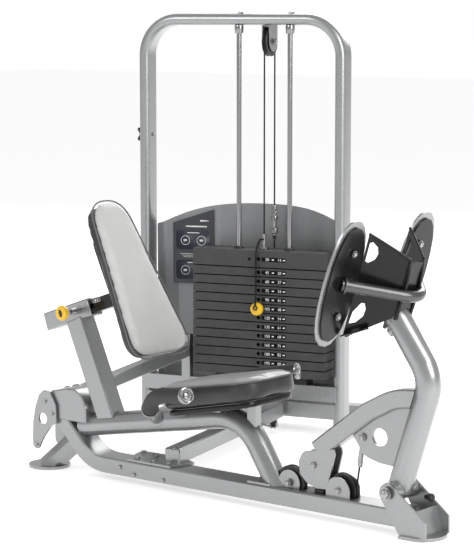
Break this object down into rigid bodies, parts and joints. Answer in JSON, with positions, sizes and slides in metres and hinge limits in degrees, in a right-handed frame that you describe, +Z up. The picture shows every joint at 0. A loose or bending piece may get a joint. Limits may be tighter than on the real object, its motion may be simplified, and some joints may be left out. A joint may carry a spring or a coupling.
{
  "type": "leg press machine",
  "caption": "Seated leg press machine with a sliding back pad, pivoting foot plate arm, pulleys and cable, and a pin-selected weight stack in a tubular tower.",
  "frame": {"origin": "on the floor, below the middle of the machine's bounding box", "axes": "+X the way the seated user faces, +Y towards the user's left and the weight tower, +Z up"},
  "size_m": [1.5965, 1.2746, 1.278],
  "materials": {
    "frame_paint": "satin silver-grey powder coat",
    "shroud_paint": "semi-gloss mid grey paint",
    "dark_paint": "glossy charcoal paint",
    "tube_paint": "glossy gun-metal paint",
    "bright_metal": "polished chrome plate",
    "black_rubber": "matt black rubber",
    "cable_jacket": "black coated steel cable",
    "pulley_plastic": "black moulded nylon",
    "stack_iron": "dark textured paint on iron",
    "seat_vinyl": "upholstery vinyl, fine grain",
    "back_vinyl": "light grey upholstery vinyl, fine grain",
    "yellow_knob": "yellow moulded plastic",
    "placard_face": "dark printed plastic sheet"
  },
  "bodies": {
    "frame": {"base_rail": "frame_paint", "rear_foot": "frame_paint", "front_foot": "frame_paint", "pivot_axle": "bright_metal", "seat_frame_tube": "frame_paint", "rear_bracket_near": "frame_paint", "rear_bracket_far": "frame_paint", "rear_cross_beam": "frame_paint", "connecting_beam": "frame_paint", "tower_frame": "frame_paint", "top_pulley_bracket": "frame_paint", "guide_rod_left": "bright_metal", "guide_rod_right": "bright_metal", "stack_cushion": "black_rubber", "stack_shroud": "shroud_paint", "placard": "placard_face", "seat_pad": "seat_vinyl", "seat_support": "frame_paint", "handle_near": "frame_paint", "handle_far": "frame_paint", "grip_near": "black_rubber", "grip_far": "black_rubber", "back_post": "frame_paint", "stop_bumper": "black_rubber", "cable_front": "cable_jacket", "cable_rear": "cable_jacket", "cable_arm": "cable_jacket", "weight_plate_06": "stack_iron", "weight_plate_07": "stack_iron", "weight_plate_08": "stack_iron", "weight_plate_09": "stack_iron", "weight_plate_10": "stack_iron", "weight_plate_11": "stack_iron", "weight_plate_12": "stack_iron"},
    "press_arm": {"press_arm": "frame_paint", "lever_arm": "frame_paint", "gusset_plate": "frame_paint", "foot_plate_near": "frame_paint", "foot_plate_far": "frame_paint", "foot_bracket": "dark_paint", "foot_cross_tube": "tube_paint"},
    "carriage": {"weight_top_plate": "stack_iron", "weight_plate_01": "stack_iron", "weight_plate_02": "stack_iron", "weight_plate_03": "stack_iron", "weight_plate_04": "stack_iron", "weight_plate_05": "stack_iron", "selector_rod": "bright_metal", "lanyard": "cable_jacket"},
    "turnbuckle": {"turnbuckle": "bright_metal"},
    "top_wheel": {"top_pulley": "pulley_plastic"},
    "lower_wheel": {"lower_pulley": "pulley_plastic"},
    "guide_wheel": {"guide_pulley": "pulley_plastic"},
    "foot_wheel": {"foot_pulley": "pulley_plastic"},
    "rail_wheel": {"rail_pulley": "pulley_plastic"},
    "lever_wheel": {"lever_pulley": "pulley_plastic"},
    "selector_pin": {"selector_pin": "yellow_knob"},
    "backrest": {"back_slide_bar": "dark_paint", "back_pad": "back_vinyl"},
    "pull_pin": {"pull_pin": "yellow_knob"}
  },
  "joints": [
    {"name": "press_arm_swing", "type": "hinge", "parent": "frame", "child": "press_arm", "pos_m": [0.6686, -0.3824, 0.107], "axis": [0, 1, 0], "range_deg": [0, 35], "deforming": ["cable_arm"]},
    {"name": "stack_lift", "type": "slide", "parent": "frame", "child": "carriage", "axis": [0, 0, 1], "range_m": [0, 0.3787], "deforming": ["cable_front"]},
    {"name": "turnbuckle_travel", "type": "slide", "parent": "frame", "child": "turnbuckle", "axis": [0, 0, -1], "range_m": [0, 0.3787], "deforming": ["cable_rear"]},
    {"name": "top_pulley_spin", "type": "hinge", "parent": "frame", "child": "top_wheel", "pos_m": [-0.34158, 0.38643, 1.196], "axis": [0.9659, 0.2588, 0], "range_deg": [-544.1, 0]},
    {"name": "lower_pulley_spin", "type": "hinge", "parent": "frame", "child": "lower_wheel", "pos_m": [-0.32909, 0.39223, 0.056], "axis": [0.821, 0.5709, 0], "range_deg": [-544.1, 0]},
    {"name": "guide_pulley_spin", "type": "hinge", "parent": "frame", "child": "guide_wheel", "pos_m": [0.19137, -0.34955, 0.18128], "axis": [0.6562, 0.5705, 0.4938], "range_deg": [0, 544.1]},
    {"name": "foot_pulley_spin", "type": "hinge", "parent": "frame", "child": "foot_wheel", "pos_m": [0.3346, -0.3824, 0.079], "axis": [0, 1, 0], "range_deg": [-544.1, 0]},
    {"name": "rail_pulley_spin", "type": "hinge", "parent": "frame", "child": "rail_wheel", "pos_m": [0.4956, -0.3824, 0.081], "axis": [0, 1, 0], "range_deg": [-129.4, 0]},
    {"name": "lever_pulley_spin", "type": "hinge", "parent": "press_arm", "child": "lever_wheel", "pos_m": [0.4156, -0.3824, 0.127], "axis": [0, 1, 0], "range_deg": [0, 314]},
    {"name": "selector_pin_pull", "type": "slide", "parent": "carriage", "child": "selector_pin", "axis": [0.2588, -0.9659, 0], "range_m": [0, 0.07]},
    {"name": "backrest_slide", "type": "slide", "parent": "frame", "child": "backrest", "axis": [0.9455, 0, 0.3256], "range_m": [-0.06, 0.08]},
    {"name": "pull_pin_travel", "type": "slide", "parent": "frame", "child": "pull_pin", "axis": [0, -1, 0], "range_m": [0, 0.012], "stiffness_N_per_m": 900, "springref_m": -0.004}
  ],
  "couplings": [
    {"joint": "stack_lift", "follows": "press_arm_swing", "m_per_rad": 0.615},
    {"joint": "turnbuckle_travel", "follows": "press_arm_swing", "m_per_rad": 0.615},
    {"joint": "top_pulley_spin", "follows": "press_arm_swing", "ratio": -15.375},
    {"joint": "lower_pulley_spin", "follows": "press_arm_swing", "ratio": -15.375},
    {"joint": "guide_pulley_spin", "follows": "press_arm_swing", "ratio": 15.375},
    {"joint": "foot_pulley_spin", "follows": "press_arm_swing", "ratio": -15.375},
    {"joint": "rail_pulley_spin", "follows": "press_arm_swing", "ratio": -3.525},
    {"joint": "lever_pulley_spin", "follows": "press_arm_swing", "ratio": 8.8}
  ]
}
